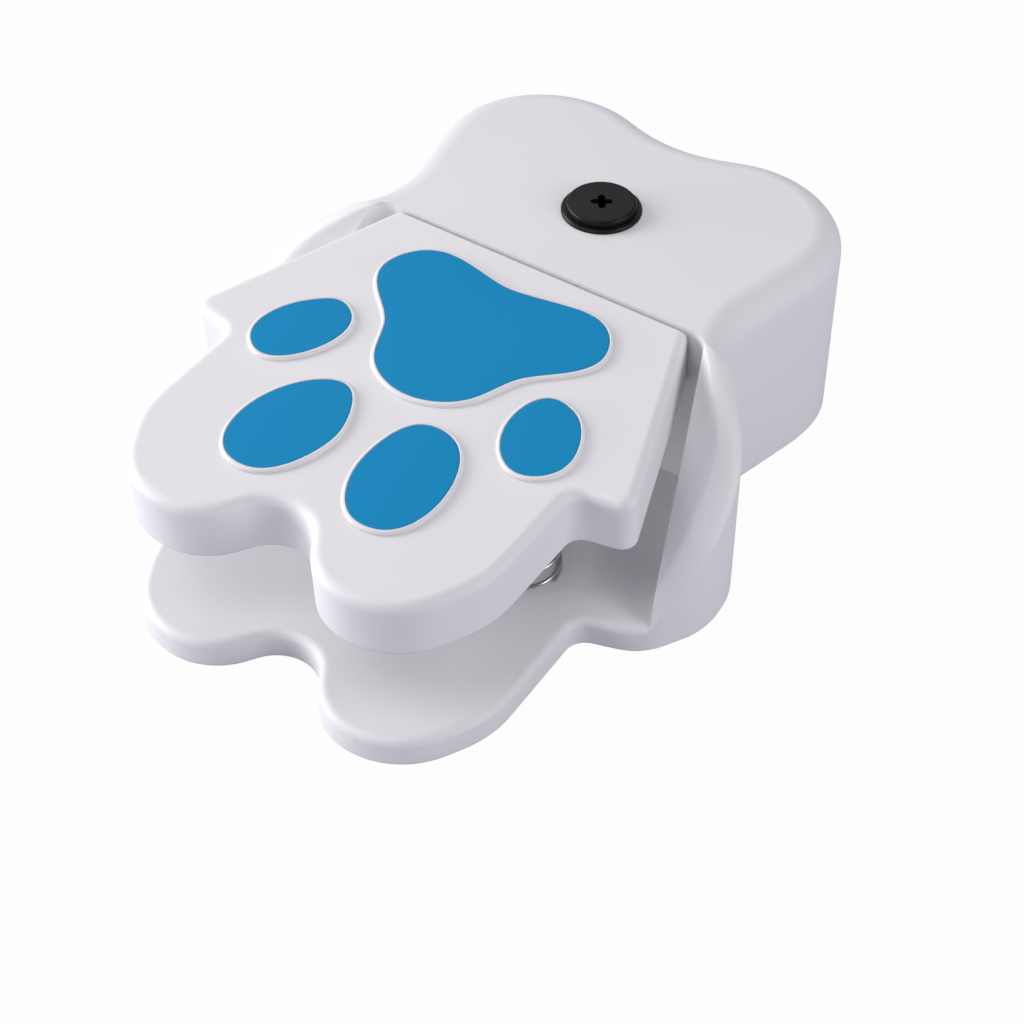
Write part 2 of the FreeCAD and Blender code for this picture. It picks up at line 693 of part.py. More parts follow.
def build_valve_plunger():
    tip_y = hinge_y + knuckle_radius + tappet_gap
    rod = lengthwise(plunger_radius, tip_y + plunger_radius, piston_front_y + 1, valve_z)
    tip = Part.makeSphere(plunger_radius, V(0, tip_y + plunger_radius, valve_z))
    piston = lengthwise(piston_radius, piston_front_y, piston_front_y + piston_length, valve_z)
    groove_half = seal_radius + groove_gap
    groove_front, groove_rear = seal_y() - groove_half, seal_y() + groove_half
    groove = lengthwise(piston_radius + 1, groove_front, groove_rear, valve_z)
    groove = groove.cut(lengthwise(seal_inner_radius() - groove_gap, groove_front, groove_rear, valve_z))
    tail = lengthwise(plunger_radius, piston_front_y + piston_length - 1,
                      piston_front_y + piston_length + tail_length, valve_z)
    return joined([rod, tip, piston, tail]).cut(groove)


def seal_y():
    return piston_front_y + piston_length / 2


def seal_inner_radius():
    return chamber_radius - seal_gap - 2 * seal_radius


def build_plunger_seal():
    return Part.makeTorus(seal_inner_radius() + seal_radius, seal_radius, V(0, seal_y(), valve_z), V(0, 1, 0))


def build_valve_spring():
    front = piston_front_y + piston_length + 0.1
    spring = wound_spring(valve_spring_radius, valve_spring_wire_radius, valve_spring_turns,
                          valve_spring_end_pitch, chamber_rear_y - 0.1 - front, "valve spring")
    spring.rotate(V(0, 0, 0), V(1, 0, 0), -90)
    spring.translate(V(0, front, valve_z))
    return spring


def build_valve_screws():
    head_up = valve_ear_top_z + screw_head_height
    end = valve_ear_top_z - valve_screw_length
    return Part.makeCompound([
        screw(side * ear_x, valve_ear_y, valve_ear_top_z, head_up, end, cover_screw_radius)
        for side in (1, -1)])


def tube(front, rear):
    """Soft tube along Z at the origin over the spigots."""
    outer = upright(0, 0, pipe_radius + tube_fit + tube_wall, front, rear)
    return outer.cut(upright(0, 0, pipe_radius + tube_fit, front - 1, rear + 1))


def clamp(centre):
    inner = pipe_radius + tube_fit + tube_wall + clamp_gap
    band = upright(0, 0, inner + clamp_thickness, centre - clamp_width / 2, centre + clamp_width / 2)
    lug = box((-2.5, inner, centre - clamp_width / 2), (2.5, inner + 4, centre + clamp_width / 2))
    slit = box((-0.6, 0, centre - clamp_width), (0.6, inner + 10, centre + clamp_width))
    return band.fuse(lug).cut(upright(0, 0, inner, centre - 10, centre + 10)).cut(slit)


def along_valve(shape):
    """Lay a shape that stands on Z down along Y on the valve's axis."""
    shape.rotate(V(0, 0, 0), V(1, 0, 0), -90)
    shape.translate(V(0, 0, valve_z))
    return shape


def supply_ends():
    return valve_rear_y + 0.5, inlet_neck_end_y - 0.5


def riser_ends():
    return valve_z + valve_radius + riser_margin, nozzle_stem_end_z - riser_margin


def build_supply_tube():
    return along_valve(tube(*supply_ends()))


def build_riser_tube():
    riser = tube(*riser_ends())
    riser.translate(V(0, nozzle_y, 0))
    return riser


def build_tube_clamps():
    front, rear = supply_ends()
    low, high = riser_ends()
    clamps = [along_valve(clamp(front + 5)), along_valve(clamp(rear - 5))]
    for level in (low + 3, high - 3.5):
        ring = clamp(level)
        ring.translate(V(0, nozzle_y, 0))
        clamps.append(ring)
    return Part.makeCompound(clamps)


def hexagon_nut(across, thickness, hole_radius):
    """Six-sided nut on Z = 0 with a plain hole."""
    radius = across / math.sqrt(3)
    corners = [V(radius * math.cos(math.pi / 3 * k), radius * math.sin(math.pi / 3 * k), 0) for k in range(7)]
    nut = Part.Face(Part.makePolygon(corners)).extrude(V(0, 0, thickness))
    nut = nut.common(Part.makeCone(radius - 0.9, radius + thickness * 1.2, thickness * 2))
    return nut.cut(upright(0, 0, hole_radius, -1, thickness + 1))


def build_inlet_fitting():
    flange_y = inlet_pocket_y + gasket_thickness
    thread_y = flange_y + inlet_flange
    mouth_y = thread_y + inlet_thread_length
    pieces = [lengthwise(inlet_neck_radius, inlet_neck_end_y, flange_y + 1, valve_z),
              lengthwise(pipe_radius, inlet_neck_end_y - spigot_length, inlet_neck_end_y + 1, valve_z),
              lengthwise(inlet_flange_radius, flange_y, thread_y, valve_z),
              lengthwise(inlet_thread_radius, thread_y, mouth_y, valve_z)]
    return joined(pieces).cut([
        lengthwise(pipe_bore, 0, far_out, valve_z),
        lengthwise(inlet_bore, flange_y + inlet_flange / 2, mouth_y + 1, valve_z)])


def build_inlet_gasket():
    disc = lengthwise(inlet_flange_radius - 1, inlet_pocket_y, inlet_pocket_y + gasket_thickness, valve_z)
    return disc.cut(lengthwise(inlet_neck_radius + inlet_hole_clearance,
                               inlet_pocket_y - 1, inlet_pocket_y + 5, valve_z))


def build_inlet_nut():
    nut = hexagon_nut(nut_across_flats, nut_thickness, inlet_neck_radius + nut_clearance)
    nut.translate(V(0, 0, inlet_pocket_y - body_wall - nut_thickness))
    return along_valve(nut)


def build_nozzle_body():
    flange = upright(0, nozzle_y, nozzle_flange_radius, housing_height, housing_height + nozzle_flange)
    flange = flange.makeChamfer(nozzle_chamfer, edges_at(flange, housing_height + nozzle_flange))
    stem = upright(0, nozzle_y, nozzle_stem_radius, nozzle_stem_end_z, housing_height + 1)
    spigot = upright(0, nozzle_y, pipe_radius, nozzle_spigot_low_z, nozzle_stem_end_z + 1)
    cap_floor = housing_height + nozzle_flange - cap_plug_depth
    return joined([flange, stem, spigot]).cut([
        upright(0, nozzle_y, pipe_bore, nozzle_spigot_low_z - 1, housing_height),
        upright(0, nozzle_y, nozzle_bore, cap_floor, housing_height + 5)])


def build_nozzle_cap():
    low = housing_height + nozzle_flange
    disc = upright(0, nozzle_y, cap_radius, low, low + cap_height)
    disc = disc.makeFillet(cap_edge_radius, edges_at(disc, low + cap_height))
    plug = upright(0, nozzle_y, nozzle_bore - cap_fit, low - cap_plug_depth + 0.2, low + 0.5)
    cap = joined([disc, plug])
    for turn in (cross_turn, cross_turn + 90):
        half, radius = cross_length / 2 - cross_width / 2, cross_width / 2
        ends = [upright(side * half, 0, radius, low - 10, low + 10) for side in (1, -1)]
        bar = box((-half, -radius, low - 10), (half, radius, low + 10)).fuse(ends)
        bar.rotate(V(0, 0, 0), V(0, 0, 1), turn)
        bar.translate(V(0, nozzle_y, 0))
        cap = cap.cut(bar)
    return cap


def build_nozzle_washer():
    top = housing_height - body_wall
    disc = upright(0, nozzle_y, nozzle_stem_radius + 5, top - gasket_thickness, top)
    return disc.cut(upright(0, nozzle_y, nozzle_stem_radius + nozzle_hole_clearance, top - 5, top + 1))


def build_nozzle_nut():
    nut = hexagon_nut(nut_across_flats, nut_thickness, nozzle_stem_radius + nut_clearance)
    nut.translate(V(0, nozzle_y, housing_height - body_wall - gasket_thickness - nut_thickness))
    return nut


def build_pads():
    for name, wire in pad_outlines().items():
        pad = slab(wire, plateau_height - pad_thickness, plateau_height)
        save(name, on_pedal(pad.makeFillet(0.4, edges_at(pad, plateau_height))))


save("body_shell", build_body_shell())
save("bottom_cover", build_bottom_cover())
save("cover_screws", build_cover_screws())
save("rubber_feet", build_rubber_feet())
save("pedal_shell", build_pedal_shell())
save("pedal_underplate", build_pedal_underplate())
save("pedal_screws", build_pedal_screws())
build_pads()
save("hinge_pin", build_hinge_pin())
save("hinge_clips", build_hinge_clips())
save("return_spring_right", build_return_spring(1))
save("return_spring_left", build_return_spring(-1))
save("valve_body", build_valve_body())
save("valve_gland", build_valve_gland())
save("valve_plunger", build_valve_plunger())
save("plunger_seal", build_plunger_seal())
save("valve_spring", build_valve_spring())
save("valve_screws", build_valve_screws())
save("supply_tube", build_supply_tube())
save("riser_tube", build_riser_tube())
save("tube_clamps", build_tube_clamps())
save("inlet_fitting", build_inlet_fitting())
save("inlet_gasket", build_inlet_gasket())
save("inlet_nut", build_inlet_nut())
save("nozzle_body", build_nozzle_body())
save("nozzle_cap", build_nozzle_cap())
save("nozzle_washer", build_nozzle_washer())
save("nozzle_nut", build_nozzle_nut())
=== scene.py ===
import json
import math

import bmesh
import bpy
import numpy as np
from mathutils import Matrix, Vector
from mathutils.geometry import delaunay_2d_cdt


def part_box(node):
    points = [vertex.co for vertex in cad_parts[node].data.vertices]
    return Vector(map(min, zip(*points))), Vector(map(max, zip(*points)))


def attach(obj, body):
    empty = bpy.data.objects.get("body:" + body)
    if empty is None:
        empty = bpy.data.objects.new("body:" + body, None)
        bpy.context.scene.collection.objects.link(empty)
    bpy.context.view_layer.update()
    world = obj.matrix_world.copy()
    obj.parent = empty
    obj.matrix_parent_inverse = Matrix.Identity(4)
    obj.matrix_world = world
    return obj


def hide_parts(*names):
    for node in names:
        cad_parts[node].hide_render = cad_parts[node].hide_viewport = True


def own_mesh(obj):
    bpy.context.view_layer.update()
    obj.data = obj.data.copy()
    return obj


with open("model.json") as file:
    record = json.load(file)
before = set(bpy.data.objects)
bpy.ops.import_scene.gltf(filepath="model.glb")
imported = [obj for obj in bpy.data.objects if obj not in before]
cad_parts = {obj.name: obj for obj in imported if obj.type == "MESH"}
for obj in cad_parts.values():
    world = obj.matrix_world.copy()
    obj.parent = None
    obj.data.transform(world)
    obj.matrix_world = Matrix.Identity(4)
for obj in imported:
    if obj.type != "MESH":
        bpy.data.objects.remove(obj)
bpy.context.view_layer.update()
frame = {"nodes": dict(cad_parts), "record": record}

# Step-on water fountain for dogs. Metres, same frame as the CAD: +Z up, toes at -Y, nozzle at +Y.
MM = 0.001

# Camera at the photograph's angle
CAMERA_AZIMUTH = 34.77         # degrees round from the toes towards +X
CAMERA_ELEVATION = 43.8
CAMERA_DISTANCE = 726 * MM
CAMERA_TARGET = (38.66 * MM, -42.9 * MM, 40 * MM)
FOCAL_PIXELS = 2305            # for an image 1024 pixels wide
IMAGE_PIXELS = 1024
SENSOR_WIDTH = 36              # of a full-frame camera, in millimetres as the camera data has it
CLIP_NEAR, CLIP_FAR = 0.01, 20


def make_camera():
    data = bpy.data.cameras.new("camera")
    data.sensor_width = SENSOR_WIDTH
    data.lens = data.sensor_width * FOCAL_PIXELS / IMAGE_PIXELS
    data.clip_start, data.clip_end = CLIP_NEAR, CLIP_FAR
    camera = bpy.data.objects.new("camera", data)
    bpy.context.scene.collection.objects.link(camera)
    azimuth, elevation = math.radians(CAMERA_AZIMUTH), math.radians(CAMERA_ELEVATION)
    back = Vector((math.sin(azimuth) * math.cos(elevation), -math.cos(azimuth) * math.cos(elevation),
                   math.sin(elevation)))
    camera.location = Vector(CAMERA_TARGET) + back * CAMERA_DISTANCE
    camera.rotation_mode = "QUATERNION"
    camera.rotation_quaternion = (-back).to_track_quat("-Z", "Y")
    bpy.context.scene.camera = camera


def linear(code):
    """Linear colour of an sRGB hex value."""
    parts = [int(code[i:i + 2], 16) / 255 for i in (0, 2, 4)]
    return tuple(c / 12.92 if c <= 0.04045 else ((c + 0.055) / 1.055) ** 2.4 for c in parts) + (1.0,)


def add_node(tree, kind, settings=(), links=()):
    """Adds a node. Settings are properties of the node or values of its inputs; links feed its inputs."""
    made = tree.nodes.new("ShaderNode" + kind)
    for key, value in dict(settings).items():
        if isinstance(key, str) and key in made.bl_rna.properties:
            setattr(made, key, value)
        else:
            made.inputs[key].default_value = value
    for key, value in dict(links).items():
        tree.links.new(value, made.inputs[key])
    return made


def new_material(name, colour, roughness, **settings):
    """Material whose shader has these values, with its tree, its shader and a place in the object."""
    material = bpy.data.materials.new(name)
    material.use_nodes = True
    tree = material.node_tree
    shader = tree.nodes["Principled BSDF"]
    shader.inputs["Base Color"].default_value = linear(colour)
    shader.inputs["Roughness"].default_value = roughness
    for key, value in settings.items():
        shader.inputs[key.replace("_", " ")].default_value = value
    place = add_node(tree, "TexCoord").outputs["Object"]
    return material, tree, shader, place


FLOW_REACH = 70 * MM           # how far the gloss and tint of a moulding take to drift
GLOSS_DRIFT = 0.05
EDGE_SAMPLES = 6


def moulded(name, colour, tint, roughness, grain_mm, grain_depth, edge_mm=0, **settings):
    """Moulded plastic or rubber: spark-eroded grain, a slow drift in gloss, a tint that flow leaves in it,
    and edges as soft as the polished mould leaves them."""
    material, tree, shader, place = new_material(name, colour, roughness, **settings)
    grain = add_node(tree, "TexNoise", {"Scale": 1 / (grain_mm * MM), "Detail": 1.0}, {"Vector": place})
    bump = add_node(tree, "Bump", {"Distance": grain_depth * MM}, {"Height": grain.outputs["Fac"]})
    if edge_mm:
        edge = add_node(tree, "Bevel", {"samples": EDGE_SAMPLES, "Radius": edge_mm * MM})
        tree.links.new(edge.outputs["Normal"], bump.inputs["Normal"])
    drift = add_node(tree, "TexNoise", {"Scale": 1 / FLOW_REACH, "Detail": 0.0}, {"Vector": place})
    gloss = add_node(tree, "MapRange",
                     {"To Min": roughness - GLOSS_DRIFT, "To Max": roughness + GLOSS_DRIFT},
                     {"Value": drift.outputs["Fac"]})
    tone = add_node(tree, "MixRGB", {"Color1": linear(colour), "Color2": linear(tint)},
                    {"Fac": drift.outputs["Fac"]})
    tree.links.new(bump.outputs["Normal"], shader.inputs["Normal"])
    tree.links.new(gloss.outputs["Result"], shader.inputs["Roughness"])
    tree.links.new(tone.outputs["Color"], shader.inputs["Base Color"])
    return material


STREAK_DEPTH = 0.01 * MM
STREAK_STRENGTH = 0.4
STREAK_GLOSS = (-0.1, 0.12)    # what the streaks take from a metal's roughness and add to it


def drawn_metal(name, colour, roughness, streak_mm):
    """Drawn or turned metal: fine streaks that vary its gloss and its surface."""
    material, tree, shader, place = new_material(name, colour, roughness, Metallic=1.0)
    streaks = add_node(tree, "TexNoise", {"Scale": 1 / (streak_mm * MM), "Detail": 3.0}, {"Vector": place})
    gloss = add_node(tree, "MapRange",
                     {"To Min": roughness + STREAK_GLOSS[0], "To Max": roughness + STREAK_GLOSS[1]},
                     {"Value": streaks.outputs["Fac"]})
    bump = add_node(tree, "Bump", {"Distance": STREAK_DEPTH, "Strength": STREAK_STRENGTH},
                    {"Height": streaks.outputs["Fac"]})
    tree.links.new(gloss.outputs["Result"], shader.inputs["Roughness"])
    tree.links.new(bump.outputs["Normal"], shader.inputs["Normal"])
    return material


FINISHES = {
    # Satin white ABS of the body, its cover and the pedal: faintly cool, with a soft sheen and
    # no hard reflections
    "white_abs": moulded("satin_white_abs", "EAEAEB", "E7E6E9", 0.46, 0.5, 0.005,
                          edge_mm=0.8, Specular_IOR_Level=0.4),
    # Grey ABS of the valve inside, matter than the white
    "grey_abs": moulded("matt_grey_abs", "A3A5AA", "9C9EA4", 0.5, 0.6, 0.02),
    # Soft blue pads: even colour, almost no shine
    "blue_tpe": moulded("soft_blue_tpe", "158CC1", "128ABF", 0.6, 0.35, 0.012, Specular_IOR_Level=0.12),
    # Black acetal of the nozzle and the plunger, smooth with a low sheen
    "black_abs": moulded("black_acetal", "0C0C0C", "101010", 0.42, 0.4, 0.006, Specular_IOR_Level=0.25),
    # Black rubber of the feet, seal, gasket and washer, dull with a coarser grain
    "black_rubber": moulded("black_rubber", "1B1C1D", "232425", 0.75, 0.5, 0.03),
    # Clear vinyl of the two tubes, glossy and a little green
    "clear_vinyl": moulded("clear_vinyl", "D4DAD8", "CDD4D2", 0.15, 1.5, 0.01, Transmission_Weight=0.7),
    # Stainless steel of the hinge pin, clamps and screws, with faint drawing streaks
    "stainless_steel": drawn_metal("stainless_steel", "C2C2C4", 0.28, 0.8),
    # Bright drawn steel of the springs and hinge clips
    "spring_steel": drawn_metal("spring_steel", "B4B4B7", 0.2, 0.9),
    # Turned brass of the hose inlet and its nut, warm and bright
    "brass": drawn_metal("turned_brass", "C9A55C", 0.25, 0.8),
}


# Shapes -----------------------------------------------------------------------------------

SOFT_CREASE = 40               # degrees: edges bent more than this stay sharp
WELD = 0.0001 * MM             # points nearer than this are one
CAD_WELD = 0.001 * MM


def new_mesh(name, points, faces, crease=SOFT_CREASE):
    """Smooth mesh with its faces turned outwards; edges bent more than crease degrees stay sharp."""
    mesh = bpy.data.meshes.new(name)
    mesh.from_pydata([tuple(point) for point in points], [], faces)
    form = bmesh.new()
    form.from_mesh(mesh)
    bmesh.ops.remove_doubles(form, verts=form.verts, dist=WELD)
    bmesh.ops.recalc_face_normals(form, faces=form.faces)
    form.to_mesh(mesh)
    form.free()
    mesh.shade_smooth()
    mesh.set_sharp_from_angle(angle=math.radians(crease))
    return mesh


def turned(name, profile, steps=96, ripple=None):
    """Mesh of a closed profile of (radius, height) turned round Z. A ripple adds to each radius."""
    points, faces = [], []
    count = len(profile)
    for step in range(steps):
        turn = 2 * math.pi * step / steps
        for radius, height in profile:
            reach = radius + (ripple(radius, height, turn) if ripple else 0)
            points.append((reach * math.cos(turn), reach * math.sin(turn), height))
        for k in range(count):
            after, k_next = (step + 1) % steps, (k + 1) % count
            faces.append((step * count + k, after * count + k, after * count + k_next, step * count + k_next))
    return new_mesh(name, points, faces)


def rounded_corner(centre_r, centre_h, radius, first, last, steps=6):
    """Points of an arc in a profile, from one direction in degrees to another."""
    turns = [math.radians(first + (last - first) * k / steps) for k in range(steps + 1)]
    return [(centre_r + radius * math.cos(t), centre_h + radius * math.sin(t)) for t in turns]


def carved(mesh, cutter):
    """The mesh less the cutter's space."""
    block = bpy.data.objects.new("block", mesh)
    tool = bpy.data.objects.new("tool", cutter)
    for thing in (block, tool):
        bpy.context.scene.collection.objects.link(thing)
    cut = block.modifiers.new("cut", "BOOLEAN")
    cut.operation, cut.solver, cut.object = "DIFFERENCE", "EXACT", tool
    result = bpy.data.meshes.new_from_object(block.evaluated_get(bpy.context.evaluated_depsgraph_get()))
    bpy.data.objects.remove(block)
    bpy.data.objects.remove(tool)
    return result


def copies(name, mesh, places):
    """One mesh of the same form at several places, each a matrix."""
    form = bmesh.new()
    for place in places:
        moved = mesh.copy()
        moved.transform(place)
        form.from_mesh(moved)
    joined = bpy.data.meshes.new(name)
    form.to_mesh(joined)
    form.free()
    return joined


def add_piece(name, mesh, finish, body, *nodes):
    """Puts a piece in the scene in place of the nodes it stands for."""
    piece = bpy.data.objects.new(name, mesh)
    bpy.context.scene.collection.objects.link(piece)
    mesh.materials.clear()
    mesh.materials.append(FINISHES[finish])
    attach(piece, body)
    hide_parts(*nodes)
    return piece


def islands(node):
    """Points of each separate solid in a CAD node."""
    form = bmesh.new()
    form.from_mesh(frame["nodes"][node].data)
    bmesh.ops.remove_doubles(form, verts=form.verts, dist=CAD_WELD)
    left, found = set(form.verts), []
    while left:
        group, front = [], [left.pop()]
        while front:
            vertex = front.pop()
            group.append(tuple(vertex.co))
            for edge in vertex.link_edges:
                other = edge.other_vert(vertex)
                if other in left:
                    left.remove(other)
                    front.append(other)
        found.append(np.array(group))
    form.free()
    return found


# Coil springs -----------------------------------------------------------------------------

SLOW_TURNS = 0.85              # turns at each end that climb slowly, as the wire is wound nearly flat there
BLEND_TURNS = 0.3              # turns over which the climb changes


def coil(name, radius, wire, turns, end_pitch, height, sides=14, per_turn=48):
    """Wound spring that stands on Z = 0, with one slow turn at each end."""
    steps = turns * per_turn
    turn = np.linspace(0, turns, steps + 1)
    fast = (np.clip((turn - SLOW_TURNS) / BLEND_TURNS, 0, 1)
            * np.clip((turns - SLOW_TURNS - turn) / BLEND_TURNS, 0, 1))
    rise = height - 2 * wire
    fast_turns = fast.mean() * turns
    pitch = (rise - end_pitch * (turns - fast_turns)) / fast_turns
    slope = end_pitch + (pitch - end_pitch) * fast
    level = wire + np.concatenate(([0], np.cumsum((slope[1:] + slope[:-1]) / 2 * np.diff(turn))))
    points, faces = [], []
    for t, z, climb in zip(turn * 2 * math.pi, level, slope):
        out = Vector((math.cos(t), math.sin(t), 0))
        along = Vector((-math.sin(t) * radius, math.cos(t) * radius, climb / (2 * math.pi))).normalized()
        side = along.cross(out)
        for k in range(sides):
            round_wire = 2 * math.pi * k / sides
            points.append(out * (radius + wire * math.cos(round_wire)) + Vector((0, 0, z))
                          + side * wire * math.sin(round_wire))
    for step in range(steps):
        for k in range(sides):
            k_next = (k + 1) % sides
            faces.append((step * sides + k, step * sides + k_next,
                          (step + 1) * sides + k_next, (step + 1) * sides + k))
    faces += [tuple(range(sides)), tuple(range(steps * sides, (steps + 1) * sides))]
    return new_mesh(name, points, faces)


# Turns, end pitches and how much of a spring's length is left when the pedal is down
RETURN_SPRING = {"wire": 0.7 * MM, "turns": 7, "end_pitch": 2.0 * MM, "keep": 0.75}
VALVE_SPRING = {"wire": 0.5 * MM, "turns": 5, "end_pitch": 1.6 * MM, "keep": 0.86}


def make_springs():
    wire, turns, end_pitch = (RETURN_SPRING[key] for key in ("wire", "turns", "end_pitch"))
    for side in ("right", "left"):
        node = "return_spring_" + side
        low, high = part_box(node)
        radius = (high.x - low.x) / 2 - wire
        mesh = coil(node + "_coil", radius, wire, turns, end_pitch, high.z - low.z)
        centre = (low + high) / 2
        mesh.transform(Matrix.Translation((centre.x, centre.y, low.z)))
        spring = add_piece(node + "_coil", mesh, "spring_steel", "base", node)
        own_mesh(spring)
    wire, turns, end_pitch = (VALVE_SPRING[key] for key in ("wire", "turns", "end_pitch"))
    low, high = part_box("valve_spring")
    centre = (low + high) / 2
    mesh = coil("valve_coil", (high.x - low.x) / 2 - wire, wire, turns, end_pitch, high.y - low.y)
    mesh.transform(Matrix.Translation((centre.x, low.y, centre.z)) @ Matrix.Rotation(-math.pi / 2, 4, "X"))
    spring = add_piece("valve_coil", mesh, "spring_steel", "base", "valve_spring")
    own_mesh(spring)


# Screws -----------------------------------------------------------------------------------

PEDAL_LEAN = math.radians(2.5)
HEAD_RADIUS, HEAD_HEIGHT, HEAD_ROUND = 3.0 * MM, 1.4 * MM, 0.9 * MM
HEAD_FLAT = 0.8 * MM           # radius of the middle of the head, which is as good as flat
HEAD_DOME = 0.01 * MM
POINT_LENGTH, POINT_TAPER = 0.6 * MM, 0.4 * MM
RECESS_REACH, RECESS_WIDTH, RECESS_DEPTH, RECESS_TAPER = 1.9 * MM, 0.95 * MM, 1.1 * MM, 0.55
RECESS_START = 0.1 * MM        # the cutter starts this far over the head
COVER_SHAFT, PEDAL_SHAFT, VALVE_SHAFT = 1.45 * MM, 1.25 * MM, 1.45 * MM
TOP_LAYER = 0.01 * MM          # points this near to the highest belong to a head's top


def cross_cutter():
    """Cross that narrows downwards, from just over Z = 0."""
    points, faces = [], []
    half = RECESS_WIDTH / 2
    for turn in (0, 1):
        start = len(points)
        for level, share in ((RECESS_START, 1.0), (-RECESS_DEPTH, RECESS_TAPER)):
            for x, y in ((-1, -1), (1, -1), (1, 1), (-1, 1)):
                spot = (x * RECESS_REACH * share, y * half * share)
                points.append((spot[turn] * (1 if turn == 0 else -1), spot[1 - turn], level))
        faces += [tuple(start + k for k in face) for face in
                  ((0, 1, 2, 3), (4, 5, 6, 7), (0, 1, 5, 4), (1, 2, 6, 5), (2, 3, 7, 6), (3, 0, 4, 7))]
    return points, faces


def screw_mesh(length, shaft_radius):
    """Pan-headed screw with a cross recess: its head's top lies at Z = 0 and the screw goes down."""
    head = [(0, 0), (HEAD_FLAT, -HEAD_DOME)]
    head += rounded_corner(HEAD_RADIUS - HEAD_ROUND, -HEAD_ROUND, HEAD_ROUND, 90, 0)
    head += [(HEAD_RADIUS, -HEAD_HEIGHT), (shaft_radius, -HEAD_HEIGHT),
             (shaft_radius, POINT_LENGTH - length), (shaft_radius - POINT_TAPER, -length), (0, -length)]
    mesh = turned("screw", head, steps=48)
    points, faces = cross_cutter()
    for start in (0, 8):
        bar = new_mesh("bar", points[start:start + 8], [tuple(k - start for k in face) for face in faces
                                                        if start <= min(face) < start + 8])
        mesh = carved(mesh, bar)
    return mesh


def make_screws():
    up, lean = Vector((0, 0, 1)), Vector((0, -math.sin(PEDAL_LEAN), math.cos(PEDAL_LEAN)))
    sets = (("cover_screws", "base", -up, COVER_SHAFT), ("pedal_screws", "pedal", -lean, PEDAL_SHAFT),
            ("valve_screws", "base", up, VALVE_SHAFT))
    for node, body, outward, shaft_radius in sets:
        places = []
        for points in islands(node):
            reach = points @ np.array(outward)
            top = Vector(points[reach > reach.max() - TOP_LAYER].mean(0))
            places.append(Matrix.Translation(top) @ outward.to_track_quat("Z", "Y").to_matrix().to_4x4())
        length = reach.max() - reach.min()
        mesh = copies(node + "_set", screw_mesh(length, shaft_radius), places)
        mesh.set_sharp_from_angle(angle=math.radians(SOFT_CREASE))
        add_piece(node + "_set", mesh, "stainless_steel", body, node)


# Rubber feet, seals and tubes -------------------------------------------------------------

FOOT_ROUND, FOOT_GROOVE = 0.5 * MM, 0.35 * MM
FOOT_GROOVE_RADII = (2.2 * MM, 4.4 * MM)
# Section of a groove: how far across it and how deep each corner lies, in shares of FOOT_GROOVE
GROOVE_SECTION = ((-1.5, 0), (-1, 0.3), (-0.5, 1), (0.5, 1), (1, 0.3), (1.5, 0))


def make_feet():
    """Round rubber feet with two moulded rings underneath."""
    low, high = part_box("rubber_feet")
    thickness = high.z - low.z
    places = []
    for points in islands("rubber_feet"):
        middle = (points.min(0) + points.max(0)) / 2
        radius = (points[:, 0].max() - points[:, 0].min()) / 2
        places.append(Matrix.Translation((middle[0], middle[1], low.z)))
    profile = [(0, 0)]
    for groove in FOOT_GROOVE_RADII:
        profile += [(groove + aside * FOOT_GROOVE, deep * FOOT_GROOVE) for aside, deep in GROOVE_SECTION]
    profile += rounded_corner(radius - FOOT_ROUND, FOOT_ROUND, FOOT_ROUND, -90, 0)
    profile += [(radius, thickness), (0, thickness)]
    mesh = copies("feet_set", turned("foot", profile), places)
    mesh.set_sharp_from_angle(angle=math.radians(SOFT_CREASE))
    add_piece("feet_set", mesh, "black_rubber", "base", "rubber_feet")


def ring_piece(node, finish, body, axis, inner, round_edge):
    """Soft ring or tube with rounded rims, in place of a CAD node whose bore radius is given."""
    low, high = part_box(node)
    centre = (low + high) / 2
    along = {"Z": high.z - low.z, "Y": high.y - low.y}[axis]
    outer = (high.x - low.x) / 2
    edge = min(round_edge, along / 2.2)
    profile = rounded_corner(outer - edge, -along / 2 + edge, edge, -90, 0)
    profile += rounded_corner(outer - edge, along / 2 - edge, edge, 0, 90)
    profile += rounded_corner(inner + edge, along / 2 - edge, edge, 90, 180)
    profile += rounded_corner(inner + edge, -along / 2 + edge, edge, 180, 270)
    mesh = turned(node + "_ring", profile)
    turn = Matrix.Rotation(-math.pi / 2, 4, "X") if axis == "Y" else Matrix.Identity(4)
    mesh.transform(Matrix.Translation(centre) @ turn)
    add_piece(node + "_ring", mesh, finish, body, node)


# Node, body, axis, bore radius and rounding of each soft ring and tube
SOFT_RINGS = (
    ("supply_tube", "base", "Y", 5.52 * MM, 0.3 * MM),
    ("riser_tube", "base", "Z", 5.52 * MM, 0.3 * MM),
    ("inlet_gasket", "base", "Y", 8.2 * MM, 0.3 * MM),
    ("nozzle_washer", "base", "Z", 8.25 * MM, 0.3 * MM),
    ("plunger_seal", "plunger", "Y", 5.55 * MM, 1.19 * MM))


def make_soft_rings():
    slots = {row["node"]: row["material_slot"] for row in frame["record"]["subparts"]}
    for node, body, axis, inner, edge in SOFT_RINGS:
        ring_piece(node, slots[node], body, axis, inner, edge)


# Hose inlet -------------------------------------------------------------------------------

